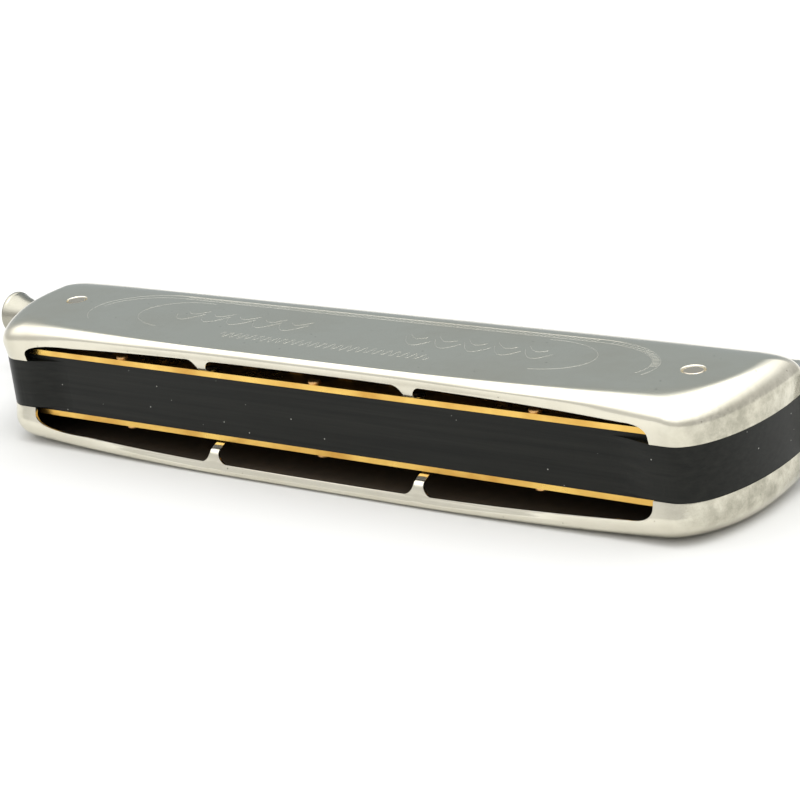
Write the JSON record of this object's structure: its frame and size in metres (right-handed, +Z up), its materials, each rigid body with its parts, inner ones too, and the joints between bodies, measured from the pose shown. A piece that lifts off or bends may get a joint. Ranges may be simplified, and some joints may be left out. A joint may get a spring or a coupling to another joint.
{
  "type": "chromatic slide harmonica",
  "caption": "Twelve-hole chromatic harmonica with drawn metal covers, a dark wooden comb, brass reed plates and a sprung slide button.",
  "frame": {"origin": "centre of the flat resting face of the lower cover", "axes": "+X along the instrument towards the slide button, -Y towards the player's mouth, +Z up"},
  "size_m": [0.1623, 0.0389, 0.0212],
  "materials": {
    "cover_metal": "plated, lightly scratched",
    "comb_wood": "black lacquer, satin",
    "reed_brass": "satin",
    "rivet_brass": "satin",
    "valve_film": "matt film",
    "slide_metal": "plated",
    "button_metal": "worn nickel",
    "mouthpiece_metal": "polished plate",
    "screw_steel": "nickelled",
    "spring_steel": "drawn wire",
    "bumper_rubber": "matt"
  },
  "bodies": {
    "harmonica_body": {"comb": "comb_wood", "cover_bolts": "screw_steel", "cover_nuts": "screw_steel", "slide_base_plate": "slide_metal", "slide_cage": "slide_metal", "slide_spring": "spring_steel", "mouthpiece": "mouthpiece_metal", "mouthpiece_screws": "screw_steel", "upper_cover": "cover_metal", "upper_reed_plate": "reed_brass", "upper_draw_reeds": "reed_brass", "upper_blow_reeds": "reed_brass", "upper_reed_rivets": "rivet_brass", "upper_valves": "valve_film", "upper_plate_nails": "rivet_brass", "lower_cover": "cover_metal", "lower_reed_plate": "reed_brass", "lower_draw_reeds": "reed_brass", "lower_blow_reeds": "reed_brass", "lower_reed_rivets": "rivet_brass", "lower_valves": "valve_film", "lower_plate_nails": "rivet_brass"},
    "slide_and_button": {"slide": "slide_metal", "slide_button": "button_metal", "slide_bumper": "bumper_rubber"}
  },
  "joints": [
    {"name": "slide_press", "type": "slide", "parent": "harmonica_body", "child": "slide_and_button", "axis": [1, 0, 0], "range_m": [-0.0046, 0], "stiffness_N_per_m": 200, "springref_m": 0.004, "deforming": ["slide_spring"]}
  ]
}
